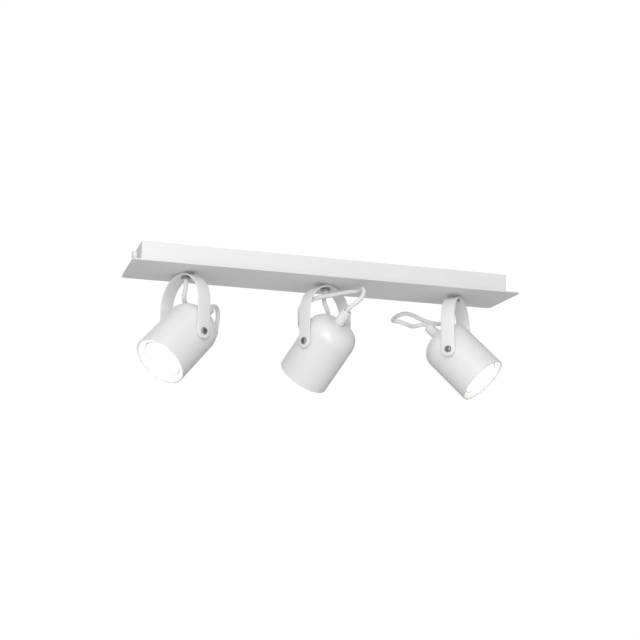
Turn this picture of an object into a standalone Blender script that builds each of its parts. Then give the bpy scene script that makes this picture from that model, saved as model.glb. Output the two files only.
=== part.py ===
"""Ceiling spot bar with three swivelling can spots, one object for each sub-part.

Units are metres, +Z is up.  The origin is at the centre of the face that lies on
the ceiling, +X runs along the bar, and -Y is the front.
"""
import math

import bmesh
import bpy
import numpy as np
from mathutils import Matrix, Vector

# ---- driving dimensions ------------------------------------------------------
GAP = 0.0003                 # left between two faces that touch

PLATE_LENGTH = 0.500
PLATE_WIDTH = 0.090
PLATE_THICKNESS = 0.0015
PLATE_CORNER = 0.006
TRAY_LENGTH = 0.475
TRAY_WIDTH = 0.060
TRAY_DEPTH = 0.0257
TRAY_WALL = 0.0012
PLATE_UNDERSIDE = -0.0275

HEAD_SPACING = 0.178
NIPPLE_RADIUS = 0.0042
NIPPLE_BORE = 0.0031
NIPPLE_TOP = -0.0165
NIPPLE_BOTTOM = -0.0342

BRACKET_LENGTH = 0.471
BRACKET_WIDTH = 0.024
BRACKET_THICKNESS = 0.0015
BRACKET_TAB = 0.018
THUMB_HEIGHT = -0.0105
THUMB_RADIUS = 0.0055

YOKE_RADIUS = 0.038          # outside of the bent strap
YOKE_THICKNESS = 0.002
YOKE_WIDTH = 0.0176
YOKE_TOP = -0.0289
PIVOT_HEIGHT = -0.104

CAN_RADIUS = 0.033
CAN_WALL = 0.0012
CAN_MOUTH = -0.0503           # along the can's own axis, from its pivot
CAN_REAR = 0.034
CAN_SHOULDER = 0.0198
BOSS_RADIUS = 0.0065
BOSS_END = 0.0535
CABLE_RADIUS = 0.00275
CABLE_SEAT = 0.0022          # bore behind each end of the cable

# Each spot's place on the bar, its pan and tilt in degrees as it hangs, and how far its
# can sits off the yoke's middle, towards the front leg.
SPOTS = (
    ("left", -HEAD_SPACING, -64.0, -43.7, 0.0006),
    ("middle", 0.0, -151.5, -45.8, 0.0020),
    ("right", HEAD_SPACING, -130.5, 43.2, 0.0),
)

# Route of each cable, in millimetres: along the pivot axis, across the yoke, up.
CABLE_ROUTES = {
    "left": (
        (0, 0, -34.5), (0, 0, -37.0), (-0.4, 0.2, -43.9), (-4.9, 1.6, -55.9),
        (-12, 13.4, -65.9), (-19.2, 27.7, -79.2), (-26.2, 39.1, -96.4),
        (-16.9, 51.6, -100.4), (-9.6, 55.7, -92.3), (-8.9, 55.7, -83.8),
        (-9.8, 58.3, -73.2), (-6.7, 55.3, -63.6), (-2.7, 49.2, -60.5),
    ),
    "middle": (
        (0, 0, -34.5), (0, 0, -37.0), (0.9, -1.7, -43.8), (-3, -1.8, -54.5),
        (-11.3, -5.7, -64.2), (-16, -17.1, -69.4), (-9.1, -29, -74.1), (6.1, -34.5, -76.3),
        (17.2, -27.6, -75.4), (25.7, -19.5, -70.7), (30.2, -13.8, -59.3),
        (25.3, -3.4, -51.1), (15.7, 4.3, -46.3), (4.6, 10.6, -43.1), (-7.4, 17.3, -39.3),
        (-17.2, 27.7, -37.1), (-19.6, 39.1, -37.2), (-15.7, 47.9, -36.9),
        (-11.4, 54, -41.9), (-5.8, 54.4, -51.8),
    ),
    "right": (
        (0, 0, -34.5), (0, 0, -37.0), (-0.7, -1.7, -44), (-2.8, -8.1, -51.3),
        (-10.1, -21.9, -59.3), (-9.6, -39, -56.4), (-4.7, -54.1, -49.5),
        (-2.3, -69, -43.8), (1.6, -79.9, -47.4), (10.4, -82.3, -54.2),
        (17.7, -76.2, -57.5), (16.7, -64.3, -61.4), (3.8, -55, -63.5),
        (-0.1, -46.8, -61.2),
    ),
}
# Distance from the pivot, along the can's axis, at which each cable turns into the boss.
CABLE_ENTRY = {"left": 0.057, "middle": 0.0575, "right": 0.057}
CABLE_END = 0.0443
CABLE_STEP = 0.008

ROUND = 28                   # facets around a can
SMALL_ROUND = 16             # facets around a screw, nut or bush

COLOURS = {
    "tray_white": ((0.86, 0.86, 0.85), 0.42, 0.0),
    "plate_white": ((0.80, 0.80, 0.80), 0.45, 0.0),
    "knob_white": ((0.84, 0.84, 0.83), 0.40, 0.0),
    "yoke_white": ((0.85, 0.85, 0.84), 0.42, 0.0),
    "can_white": ((0.86, 0.86, 0.85), 0.40, 0.0),
    "boss_white": ((0.84, 0.84, 0.83), 0.40, 0.0),
    "zinc": ((0.62, 0.63, 0.65), 0.35, 1.0),
    "dark_screw": ((0.16, 0.16, 0.17), 0.40, 0.9),
    "white_cable": ((0.85, 0.85, 0.84), 0.50, 0.0),
    "ceramic": ((0.82, 0.80, 0.75), 0.55, 0.0),
    "terminal_plastic": ((0.78, 0.78, 0.74), 0.45, 0.0),
    "lamp_white": ((0.88, 0.88, 0.88), 0.35, 0.0),
    "baffle_white": ((0.86, 0.86, 0.86), 0.40, 0.0),
    "lamp_glow": ((1.0, 0.99, 0.96), 0.30, 0.0),
    "nylon": ((0.80, 0.80, 0.79), 0.50, 0.0),
    "lead_brown": ((0.30, 0.17, 0.10), 0.50, 0.0),
}


# ---- scene and materials -----------------------------------------------------
def clear_scene():
    for thing in list(bpy.data.objects):
        bpy.data.objects.remove(thing, do_unlink=True)


def new_collection(name):
    collection = bpy.data.collections.new(name)
    bpy.context.scene.collection.children.link(collection)
    return collection


def make_material(name):
    colour, roughness, metallic = COLOURS[name]
    material = bpy.data.materials.new(name)
    material.use_nodes = True
    shader = material.node_tree.nodes["Principled BSDF"]
    shader.inputs["Base Color"].default_value = (*colour, 1.0)
    shader.inputs["Roughness"].default_value = roughness
    shader.inputs["Metallic"].default_value = metallic
    return material


clear_scene()
PARTS = new_collection("spot_bar")
CUTTERS = new_collection("cutters")
MATERIALS = {name: make_material(name) for name in COLOURS}


# ---- shared shapes -----------------------------------------------------------
def add_object(name, mesh, material, parent=None, location=(0, 0, 0), rotation=(0, 0, 0)):
    """Put a mesh in the parts collection as one named sub-part."""
    piece = bpy.data.objects.new(name, mesh)
    PARTS.objects.link(piece)
    piece.parent = parent
    piece.location = location
    piece.rotation_euler = rotation
    mesh.materials.append(MATERIALS[material])
    return piece


def shade_round(piece, angle=35.0):
    piece.data.shade_smooth()
    piece.data.set_sharp_from_angle(angle=math.radians(angle))


def mesh_of(name, build):
    """Make a mesh with the bmesh steps in build."""
    mesh = bpy.data.meshes.new(name)
    bm = bmesh.new()
    build(bm)
    bm.to_mesh(mesh)
    bm.free()
    return mesh


def block_mesh(name, size, centre=(0, 0, 0)):
    """A box of this size about this centre."""
    place = Matrix.Translation(centre) @ Matrix.Diagonal((*size, 1.0))
    return mesh_of(name, lambda bm: bmesh.ops.create_cube(bm, size=1.0, matrix=place))


def rod_mesh(name, radius, low, high, facets=SMALL_ROUND, axis="Z", centre=(0, 0)):
    """A solid rod from low to high along an axis, with centre across it."""
    place = Matrix.Translation((centre[0], centre[1], (low + high) / 2))
    if axis == "X":
        place = Matrix.Rotation(math.pi / 2, 4, "Y") @ place
    return mesh_of(name, lambda bm: bmesh.ops.create_cone(
        bm, cap_ends=True, segments=facets, radius1=radius, radius2=radius,
        depth=high - low, matrix=place))


def slab_mesh(name, outline, low, high):
    """A flat outline of (x, y) points, solid between two heights."""
    def build(bm):
        face = bm.faces.new([bm.verts.new((x, y, low)) for x, y in outline])
        raised = bmesh.ops.extrude_face_region(bm, geom=[face])["geom"]
        corners = [part for part in raised if isinstance(part, bmesh.types.BMVert)]
        bmesh.ops.translate(bm, verts=corners, vec=(0, 0, high - low))
        bmesh.ops.recalc_face_normals(bm, faces=bm.faces)

    return mesh_of(name, build)


def turned(name, outline, material, parent=None, facets=ROUND, **place):
    """Turn an outline of (radius, height) points about Z.

    The outline runs down the outer side and, where the piece has a bore, back up it.
    """
    closed = outline[0][0] > 0

    def build(bm):
        points = [bm.verts.new((radius, 0, height)) for radius, height in outline]
        for first, second in zip(points, points[1:]):
            bm.edges.new((first, second))
        if closed:
            bm.edges.new((points[-1], points[0]))

    piece = add_object(name, mesh_of(name, build), material, parent, **place)
    screw = piece.modifiers.new("turn", "SCREW")
    screw.angle = 2 * math.pi
    screw.steps = facets
    screw.render_steps = facets
    screw.use_merge_vertices = True
    screw.merge_threshold = 0.00001
    screw.use_smooth_shade = True
    return piece


def arc(centre, radius, start, end, count):
    """Points round an arc, angles in degrees from the first axis."""
    angles = np.radians(np.linspace(start, end, count))
    return [(centre[0] + radius * math.cos(a), centre[1] + radius * math.sin(a)) for a in angles]


def cut(piece, cutter_mesh, location=(0, 0, 0), rotation=(0, 0, 0)):
    """Take a cutter's shape out of a piece; the cutter shares the piece's frame."""
    cutter = bpy.data.objects.new("cut_" + piece.name, cutter_mesh)
    CUTTERS.objects.link(cutter)
    cutter.parent = piece
    cutter.location = location
    cutter.rotation_euler = rotation
    cutter.hide_render = True
    cutter.display_type = "WIRE"
    boolean = piece.modifiers.new("cut", "BOOLEAN")
    boolean.operation = "DIFFERENCE"
    boolean.object = cutter
    return cutter


def frame(name, parent, location=(0, 0, 0), rotation=(0, 0, 0)):
    """An empty that carries the pieces of one moving body on its joint's axis."""
    empty = bpy.data.objects.new(name, None)
    PARTS.objects.link(empty)
    empty.parent = parent
    empty.location = location
    empty.rotation_euler = rotation
    return empty


def hex_nut(name, material, across, bore, low, high, parent=None, **place):
    """A hexagon nut between two heights on Z."""
    nut = add_object(name, rod_mesh(name, across / math.sqrt(3), low, high, 6), material,
                     parent, **place)
    cut(nut, rod_mesh("bore", bore, low - 0.002, high + 0.002))
    return nut


def tube(name, points, radius, material, parent=None):
    """A round cord through points that are already a few diameters apart."""
    curve = bpy.data.curves.new(name, "CURVE")
    curve.dimensions = "3D"
    curve.bevel_depth = radius
    curve.bevel_resolution = 2
    curve.use_fill_caps = True
    spline = curve.splines.new("POLY")
    spline.points.add(len(points) - 1)
    for knot, point in zip(spline.points, points):
        knot.co = (*point, 1.0)
    piece = bpy.data.objects.new(name, curve)
    PARTS.objects.link(piece)
    piece.parent = parent
    curve.materials.append(MATERIALS[material])
    return piece


def smooth_route(route, step):
    """Even points along the cubic spline through a route's own points."""
    knots = np.array(route, dtype=float)
    count = len(knots)
    span = np.linalg.norm(np.diff(knots, axis=0), axis=1)
    along = np.concatenate(([0.0], np.cumsum(span)))
    slope = np.diff(knots, axis=0) / span[:, None]
    matrix = np.zeros((count, count))
    wanted = np.zeros((count, 3))
    inner = np.arange(1, count - 1)
    matrix[inner, inner - 1] = span[inner]
    matrix[inner, inner] = 2 * (span[inner - 1] + span[inner])
    matrix[inner, inner + 1] = span[inner - 1]
    wanted[inner] = 3 * (span[inner, None] * slope[inner - 1]
                         + span[inner - 1, None] * slope[inner])
    matrix[0, 0] = matrix[-1, -1] = 1.0
    wanted[0], wanted[-1] = slope[0], slope[-1]
    tangent = np.linalg.solve(matrix, wanted)
    place = np.linspace(0.0, along[-1], 4000)
    piece = np.clip(np.searchsorted(along, place, side="right") - 1, 0, count - 2)
    width = span[piece][:, None]
    t = (place - along[piece])[:, None] / width
    curve = ((2 * t**3 - 3 * t**2 + 1) * knots[piece]
             + (t**3 - 2 * t**2 + t) * width * tangent[piece]
             + (3 * t**2 - 2 * t**3) * knots[piece + 1]
             + (t**3 - t**2) * width * tangent[piece + 1])
    run = np.concatenate(([0.0], np.cumsum(np.linalg.norm(np.diff(curve, axis=0), axis=1))))
    even = np.linspace(0.0, run[-1], int(round(run[-1] / step)) + 1)
    return np.stack([np.interp(even, run, curve[:, axis]) for axis in range(3)], axis=1)


# ---- ceiling side ------------------------------------------------------------
def rounded_rectangle(length, width, corner, steps=5):
    """Corner points of a rectangle with round corners, anticlockwise."""
    points = []
    for turn, (sx, sy) in enumerate(((1, 1), (-1, 1), (-1, -1), (1, -1))):
        centre = (sx * (length / 2 - corner), sy * (width / 2 - corner))
        points += arc(centre, corner, 90 * turn, 90 * turn + 90, steps)
    return points


def base_plate():
    """Flat sheet below the tray, with a hole for each nipple."""
    outline = rounded_rectangle(PLATE_LENGTH, PLATE_WIDTH, PLATE_CORNER)
    sheet = slab_mesh("base_plate", outline, PLATE_UNDERSIDE, PLATE_UNDERSIDE + PLATE_THICKNESS)
    plate = add_object("base_plate", sheet, "plate_white")
    for _, place, *_ in SPOTS:
        cut(plate, rod_mesh("hole", NIPPLE_RADIUS + GAP, -0.032, -0.022), (place, 0, 0))


def canopy_tray():
    """Folded box, open to the ceiling, that hides the wiring."""
    tray = add_object("canopy_tray", block_mesh(
        "canopy_tray", (TRAY_LENGTH, TRAY_WIDTH, TRAY_DEPTH), (0, 0, -TRAY_DEPTH / 2)),
        "tray_white")
    inside = (TRAY_LENGTH - 2 * TRAY_WALL, TRAY_WIDTH - 2 * TRAY_WALL, TRAY_DEPTH)
    cut(tray, block_mesh("hollow", inside, (0, 0, TRAY_WALL - TRAY_DEPTH / 2)))
    for _, place, *_ in SPOTS:
        cut(tray, rod_mesh("hole", NIPPLE_RADIUS + GAP, -0.030, -0.020), (place, 0, 0))
    for side in (-1, 1):
        cut(tray, rod_mesh("end_hole", 0.0024, -0.005, 0.005, axis="X"),
            (side * TRAY_LENGTH / 2, 0, THUMB_HEIGHT))


def ceiling_bracket():
    """Strip screwed to the ceiling; its turned-down ends take the thumb screws."""
    bracket = add_object("ceiling_bracket", block_mesh(
        "ceiling_bracket", (BRACKET_LENGTH, BRACKET_WIDTH, BRACKET_TAB),
        (0, 0, -BRACKET_TAB / 2)), "zinc")
    below = BRACKET_TAB - BRACKET_THICKNESS
    cut(bracket, block_mesh("channel", (
        BRACKET_LENGTH - 2 * BRACKET_THICKNESS, BRACKET_WIDTH + 0.01, 2 * below),
        (0, 0, -BRACKET_THICKNESS - below)))
    slot = rounded_rectangle(0.026, 0.0046, 0.00229, 4)
    for place in (-0.150, -0.040, 0.040, 0.150):
        cut(bracket, slab_mesh("slot", slot, -0.005, 0.005), (place, 0, 0))
    for side in (-1, 1):
        cut(bracket, rod_mesh("tapped_hole", 0.0024, -0.004, 0.004, axis="X"),
            (side * BRACKET_LENGTH / 2, 0, THUMB_HEIGHT))


def thumb_screw(name, side):
    """Round cap screw in the tray's end wall: domed head, neck and shank, turned about Z."""
    wall = TRAY_LENGTH / 2
    head_low, head_high = wall + 0.0010, wall + 0.0065
    outline = [(0.0, head_high), (0.0035, head_high)]
    outline += arc((THUMB_RADIUS - 0.0015, head_high - 0.0015), 0.0015, 75, 0, 4)
    outline += [(THUMB_RADIUS, head_low), (0.0030, head_low), (0.0030, wall + GAP),
                (0.0020, wall + GAP), (0.0020, wall - 0.009), (0.0, wall - 0.009)]
    turned(name, outline, "knob_white", facets=20, location=(0, 0, THUMB_HEIGHT),
           rotation=(0, side * math.pi / 2, 0))


def terminal_block():
    """Three-pole block on the tray's floor, with its wire holes along the bar."""
    floor = -TRAY_DEPTH + TRAY_WALL + GAP
    block = add_object("terminal_block", block_mesh(
        "terminal_block", (0.030, 0.024, 0.014), (0, 0, 0.007)), "terminal_plastic",
        location=(0.090, 0, floor))
    for row in (-0.008, 0.0, 0.008):
        cut(block, rod_mesh("wire_hole", 0.0027, -0.02, 0.02, 10, "X"), (0, row, 0.006))
        cut(block, rod_mesh("screw_hole", 0.0018, 0.006, 0.02, 10), (0, row, 0))


def earth_screw():
    """Pan-head earth screw standing in the tray's floor."""
    floor = -TRAY_DEPTH + TRAY_WALL + GAP
    outline = [(0.0, 0.0032), (0.0025, 0.0032), (0.0040, 0.0022), (0.0040, 0.0), (0.0, 0.0)]
    turned("earth_screw", outline, "zinc", facets=SMALL_ROUND, location=(0.135, 0, floor))


def supply_leads():
    """Leads from the terminal block to each nipple, each held along its way."""
    pole = -TRAY_DEPTH + TRAY_WALL + GAP + 0.006
    end = NIPPLE_BOTTOM + 0.0008
    routes = {
        "lead_left": ((-0.178, 0, end), (-0.178, 0, -0.0200), (-0.1765, 0, -0.0105),
                      (-0.168, -0.002, -0.0065), (-0.150, -0.008, -0.0060),
                      (-0.120, -0.013, -0.0075), (-0.060, -0.014, -0.0080),
                      (0.0, -0.014, -0.0080), (0.040, -0.013, -0.0100),
                      (0.062, -0.0085, -0.0165), (0.0747, -0.008, pole)),
        "lead_middle": ((0.0, 0, end), (0.0, 0, -0.0200), (0.0015, 0, -0.0105),
                        (0.010, 0, -0.0065), (0.030, 0, -0.0065),
                        (0.050, 0, -0.0110), (0.064, 0, -0.0170), (0.0747, 0, pole)),
        "lead_right": ((0.178, 0, end), (0.178, 0, -0.0200), (0.1765, 0, -0.0105),
                       (0.168, 0, -0.0065), (0.150, 0, -0.0065),
                       (0.130, 0, -0.0110), (0.116, 0, -0.0170), (0.1053, 0, pole)),
    }
    for name, route in routes.items():
        tube(name, smooth_route(route, 0.009), 0.0018, "lead_brown")


# ---- one spot ----------------------------------------------------------------
def fixings(tag, place):
    """Hollow nipple through plate and tray, its nuts and the friction washer."""
    lip = NIPPLE_BOTTOM + 0.0015
    outline = [(NIPPLE_RADIUS, NIPPLE_TOP), (NIPPLE_RADIUS, NIPPLE_BOTTOM),
               (CABLE_SEAT, NIPPLE_BOTTOM), (CABLE_SEAT, lip), (NIPPLE_BORE, lip),
               (NIPPLE_BORE, NIPPLE_TOP)]
    turned("nipple_" + tag, outline, "zinc", facets=SMALL_ROUND, location=(place, 0, 0))
    floor = -TRAY_DEPTH + TRAY_WALL + GAP
    clear_bore = NIPPLE_RADIUS + GAP
    hex_nut("inner_nut_" + tag, "zinc", 0.0125, clear_bore, floor, floor + 0.004,
            location=(place, 0, 0))
    washer_top = PLATE_UNDERSIDE - GAP
    outline = [(0.008, washer_top), (0.008, YOKE_TOP + GAP), (clear_bore, YOKE_TOP + GAP),
               (clear_bore, washer_top)]
    turned("friction_washer_" + tag, outline, "nylon", facets=20, location=(place, 0, 0))
    nut_top = YOKE_TOP - YOKE_THICKNESS - 0.00085
    hex_nut("lock_nut_" + tag, "dark_screw", 0.0105, clear_bore, nut_top - 0.0020, nut_top,
            location=(place, 0, 0))


def strap_rows():
    """Centre point and half width of the strap, from one leg's end to the other's.

    The path is a half circle with straight legs down to the pivots, and each leg
    runs on past its pivot to a round end.
    """
    half = YOKE_WIDTH / 2
    leg = [(YOKE_RADIUS, PIVOT_HEIGHT - half * math.sin(a), half * math.cos(a))
           for a in np.radians((78, 60, 40, 20, 0))]
    bend = [(x, z, half) for x, z in arc((0, YOKE_TOP - YOKE_RADIUS), YOKE_RADIUS, 0, 90, 13)]
    rows = leg + bend
    return rows + [(-x, z, w) for x, z, w in reversed(rows[:-1])]


def yoke(tag, parent):
    """Bent strap: a half circle on two legs, drilled for the nipple and the pivots."""
    rows = strap_rows()

    def build(bm):
        edges = [(bm.verts.new((x, -w, z)), bm.verts.new((x, w, z))) for x, z, w in rows]
        for (a, b), (c, d) in zip(edges, edges[1:]):
            bm.faces.new((a, b, d, c))
        bmesh.ops.recalc_face_normals(bm, faces=bm.faces)

    name = "yoke_" + tag
    strap = add_object(name, mesh_of(name, build), "yoke_white", parent)
    top = max(strap.data.polygons, key=lambda face: face.center.z)
    solid = strap.modifiers.new("thickness", "SOLIDIFY")
    solid.thickness = YOKE_THICKNESS
    solid.offset = -1.0 if top.normal.z > 0 else 1.0
    solid.use_even_offset = True
    cut(strap, rod_mesh("nipple_hole", NIPPLE_RADIUS + GAP, YOKE_TOP - 0.008, YOKE_TOP + 0.004))
    for side in (-1, 1):
        cut(strap, rod_mesh("pivot_hole", 0.0024, -0.006, 0.006, axis="X"),
            (side * YOKE_RADIUS, 0, PIVOT_HEIGHT))


def can_shell(tag, parent):
    """Spun can: straight wall, round shoulder and flat rear with a hole for the boss."""
    hole = 0.0050
    outer = [(hole, CAN_REAR)]
    inner_radius = CAN_RADIUS - CAN_WALL
    centre = (CAN_RADIUS - CAN_SHOULDER, CAN_REAR - CAN_SHOULDER)
    outer += arc(centre, CAN_SHOULDER, 90, 0, 7)
    outer.append((CAN_RADIUS, CAN_MOUTH))
    inner = [(inner_radius, CAN_MOUTH)]
    inner += arc(centre, CAN_SHOULDER - CAN_WALL, 0, 90, 7)
    inner.append((hole, CAN_REAR - CAN_WALL))
    shell = turned("can_shell_" + tag, outer + inner, "can_white", parent)
    for side in (-1, 1):
        cut(shell, rod_mesh("bush_hole", 0.0039, -0.006, 0.006, axis="X"),
            (side * CAN_RADIUS, 0, 0))


def rear_boss(tag, parent):
    """Turned outlet on the can's rear: counterbored mouth, threaded spigot inside."""
    spigot, counterbore, seat = 0.0047, 0.0045, CABLE_END - GAP
    outline = [(BOSS_RADIUS - 0.0006, BOSS_END), (BOSS_RADIUS, BOSS_END - 0.0006),
               (BOSS_RADIUS, CAN_REAR + GAP), (spigot, CAN_REAR + GAP), (spigot, 0.0242),
               (CABLE_SEAT, 0.0242), (CABLE_SEAT, seat), (counterbore, seat),
               (counterbore, BOSS_END)]
    turned("rear_boss_" + tag, outline, "boss_white", parent, facets=SMALL_ROUND)


def lamp_holder(tag, parent):
    """Ceramic holder with two pin holes for the lamp's bayonet pins."""
    outline = [(0.0, 0.0215), (0.0110, 0.0215), (0.0127, 0.0200), (0.0127, 0.0045), (0.0, 0.0045)]
    holder = turned("lamp_holder_" + tag, outline, "ceramic", parent, facets=20)
    for side in (-1, 1):
        cut(holder, rod_mesh("pin_hole", 0.0029, 0.0, 0.0115, 10), (side * 0.005, 0, 0))


def spot_lamp(tag, parent):
    """Reflector lamp with two bayonet pins, its lens, and the ring round its face."""
    body = [(0.0, 0.0040), (0.0095, 0.0040), (0.0125, 0.0010), (0.0135, -0.0100),
            (0.0185, -0.0220), (0.0235, -0.0340), (0.0250, -0.0400), (0.0250, -0.0455),
            (0.0240, -0.0455), (0.0240, -0.0430), (0.0, -0.0430)]
    lamp = turned("spot_lamp_" + tag, body, "lamp_white", parent, facets=24)
    for side in (-1, 1):
        pin = add_object("pin", rod_mesh("pin", 0.0025, 0.0030, 0.0100, 10), "zinc", parent,
                         (side * 0.005, 0, 0))
        PARTS.objects.unlink(pin)
        CUTTERS.objects.link(pin)
        pin.hide_render = True
        pin.display_type = "WIRE"
        join = lamp.modifiers.new("pin", "BOOLEAN")
        join.operation = "UNION"
        join.object = pin
    lens = [(0.0, -0.0433), (0.0236, -0.0433), (0.0236, -0.0448), (0.0130, -0.0457), (0.0, -0.0460)]
    turned("lamp_lens_" + tag, lens, "lamp_glow", parent, facets=24)
    ring = [(0.0314, -0.0470), (0.0314, -0.0488), (0.0303, -0.0488), (0.0256, -0.0466),
            (0.0256, -0.0420), (0.0264, -0.0420), (0.0264, -0.0458)]
    turned("baffle_ring_" + tag, ring, "baffle_white", parent, facets=ROUND)


def tilt_pivot(tag, side_name, side, shift, parent):
    """Bush in the can's wall, as thick as the gap there, and the screw through the leg."""
    turn = (0, side * math.pi / 2, 0)
    leg = YOKE_RADIUS - side * shift
    bush_face = leg - YOKE_THICKNESS - GAP
    bush = [(0.0060, bush_face), (0.0060, CAN_RADIUS + GAP), (0.0035, CAN_RADIUS + GAP),
            (0.0035, 0.0285), (0.0023, 0.0285), (0.0023, bush_face)]
    turned(f"pivot_bush_{side_name}_{tag}", bush, "nylon", parent, SMALL_ROUND, rotation=turn)
    head = leg + GAP
    screw = [(0.0, head + 0.0025), (0.0018, head + 0.0024), (0.0034, head + 0.0018),
             (0.0042, head + 0.0006), (0.0042, head), (0.0020, head), (0.0020, 0.0290),
             (0.0, 0.0290)]
    name = f"tilt_screw_{side_name}_{tag}"
    piece = turned(name, screw, "dark_screw", parent, SMALL_ROUND, rotation=turn)
    for angle in (0, math.pi / 2):
        cut(piece, block_mesh("recess", (0.0045, 0.0009, 0.003)), (0, 0, head + 0.0027),
            (0, 0, angle))


def cable(tag, tilt, shift, parent):
    """Free cable, straight out of the nipple, round the can's rear, straight into the boss."""
    route = [Vector(point) / 1000 for point in CABLE_ROUTES[tag]]
    rearward = Vector((0, -math.sin(tilt), math.cos(tilt)))
    pivot = Vector((shift, 0, PIVOT_HEIGHT))
    route += [pivot + rearward * CABLE_ENTRY[tag], pivot + rearward * (CABLE_END + 0.003),
              pivot + rearward * CABLE_END]
    bends = smooth_route(route[1:-1], CABLE_STEP)
    tube("cable_" + tag, [route[0], *bends, route[-1]], CABLE_RADIUS, "white_cable", parent)


def spot(tag, place, pan, tilt, shift):
    """One complete spot: fixings on the bar, the panning yoke and the tilting can."""
    fixings(tag, place)
    pan_frame = frame("pan_axis_" + tag, None, (place, 0, 0), (0, 0, math.radians(pan)))
    yoke(tag, pan_frame)
    cable(tag, math.radians(tilt), shift, pan_frame)
    tilt_frame = frame("tilt_axis_" + tag, pan_frame, (shift, 0, PIVOT_HEIGHT),
                       (math.radians(tilt), 0, 0))
    can_shell(tag, tilt_frame)
    rear_boss(tag, tilt_frame)
    lamp_holder(tag, tilt_frame)
    spot_lamp(tag, tilt_frame)
    tilt_pivot(tag, "front", 1, shift, tilt_frame)
    tilt_pivot(tag, "back", -1, shift, tilt_frame)


base_plate()
canopy_tray()
ceiling_bracket()
thumb_screw("thumb_screw_left", -1)
thumb_screw("thumb_screw_right", 1)
terminal_block()
earth_screw()
supply_leads()
for spot_facts in SPOTS:
    spot(*spot_facts)
for part in PARTS.objects:
    if part.type == "MESH":
        shade_round(part)
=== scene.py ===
"""A ceiling spot bar with three swivelling can spots, as finished surfaces."""
import math

import bpy
import numpy as np
from bpy.props import FloatProperty, FloatVectorProperty, PointerProperty
from mathutils import Matrix, Vector


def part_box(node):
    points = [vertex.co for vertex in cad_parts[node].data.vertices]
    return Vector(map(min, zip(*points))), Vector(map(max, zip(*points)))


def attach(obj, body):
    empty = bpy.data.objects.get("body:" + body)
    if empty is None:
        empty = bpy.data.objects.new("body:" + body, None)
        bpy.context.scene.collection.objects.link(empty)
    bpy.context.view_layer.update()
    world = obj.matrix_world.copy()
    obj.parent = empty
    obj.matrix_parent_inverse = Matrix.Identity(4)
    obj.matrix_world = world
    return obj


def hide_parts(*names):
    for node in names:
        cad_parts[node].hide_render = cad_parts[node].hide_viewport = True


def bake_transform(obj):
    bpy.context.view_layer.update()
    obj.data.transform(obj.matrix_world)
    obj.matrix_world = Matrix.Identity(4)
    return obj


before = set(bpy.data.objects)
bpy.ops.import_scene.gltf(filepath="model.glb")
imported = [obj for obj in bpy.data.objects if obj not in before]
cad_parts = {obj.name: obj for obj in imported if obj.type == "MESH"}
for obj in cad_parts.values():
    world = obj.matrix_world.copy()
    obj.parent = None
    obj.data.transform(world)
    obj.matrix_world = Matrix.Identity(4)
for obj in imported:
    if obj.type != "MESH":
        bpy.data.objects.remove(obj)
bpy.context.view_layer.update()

bl_info = {
    "name": "Ceiling Spot Bar",
    "version": (1, 0, 0),
    "blender": (4, 5, 0),
    "location": "View3D > Sidebar > Spot Bar",
    "description": "Builds a ceiling bar with three swivelling can spots on its packed frame",
    "category": "Add Mesh",
}

MM = 0.001

# Each spot: its place along the bar in mm, its pan and tilt as it hangs in degrees, and how
# far its can sits towards the front leg in mm.
SPOTS = {
    "left": (-178.0, -64.0, -43.7, 0.6),
    "middle": (0.0, -151.5, -45.8, 2.0),
    "right": (178.0, -130.5, 43.2, 0.0),
}
PIVOT_HEIGHT = -104.0

# Sizes in metres. Those of a can and its boss are measured along its axis from the pivots.
YOKE_TOP = -0.0289
YOKE_RADIUS = 0.038
STRAP_THICKNESS = 0.002
CAN_MOUTH = -0.0503
CAN_REAR = 0.034
CAN_SHOULDER = 0.0198
CAN_WALL = 0.0012
BOSS_RADIUS = 0.0065
BOSS_END = 0.0535
CABLE_HOLE = 0.0022
NIPPLE_RADIUS = 0.0042
NIPPLE_BORE = 0.0031
TRAY_WALL = 0.0012
KNOB_HEAD = 0.0055
FLOOR_HEIGHT = -1.9
NYLON = (0.76, 0.76, 0.75)

# Route of each free cable in mm: along the pivot axis, across the yoke, and up.
CABLE_ROUTES = {
    "left": (
        (0, 0, -34.5), (0, 0, -37.0), (-0.4, 0.2, -43.9), (-4.9, 1.6, -55.9),
        (-12, 13.4, -65.9), (-19.2, 27.7, -79.2), (-26.2, 39.1, -96.4),
        (-16.9, 51.6, -100.4), (-9.6, 55.7, -92.3), (-8.9, 55.7, -83.8),
        (-9.8, 58.3, -73.2), (-6.7, 55.3, -63.6), (-2.7, 49.2, -60.5),
    ),
    "middle": (
        (0, 0, -34.5), (0, 0, -37.0), (0.9, -1.7, -43.8), (-3, -1.8, -54.5),
        (-11.3, -5.7, -64.2), (-16, -17.1, -69.4), (-9.1, -29, -74.1), (6.1, -34.5, -76.3),
        (17.2, -27.6, -75.4), (25.7, -19.5, -70.7), (30.2, -13.8, -59.3),
        (25.3, -3.4, -51.1), (15.7, 4.3, -46.3), (4.6, 10.6, -43.1), (-7.4, 17.3, -39.3),
        (-17.2, 27.7, -37.1), (-19.6, 39.1, -37.2), (-15.7, 47.9, -36.9),
        (-11.4, 54, -41.9), (-5.8, 54.4, -51.8),
    ),
    "right": (
        (0, 0, -34.5), (0, 0, -37.0), (-0.7, -1.7, -44), (-2.8, -8.1, -51.3),
        (-10.1, -21.9, -59.3), (-9.6, -39, -56.4), (-4.7, -54.1, -49.5),
        (-2.3, -69, -43.8), (1.6, -79.9, -47.4), (10.4, -82.3, -54.2),
        (17.7, -76.2, -57.5), (16.7, -64.3, -61.4), (3.8, -55, -63.5),
        (-0.1, -46.8, -61.2),
    ),
}
CABLE_ENTRY = {"left": 57.0, "middle": 57.5, "right": 57.0}
CABLE_SEAT = 44.3
SEAT_STRAIGHT = 3.0
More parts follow.
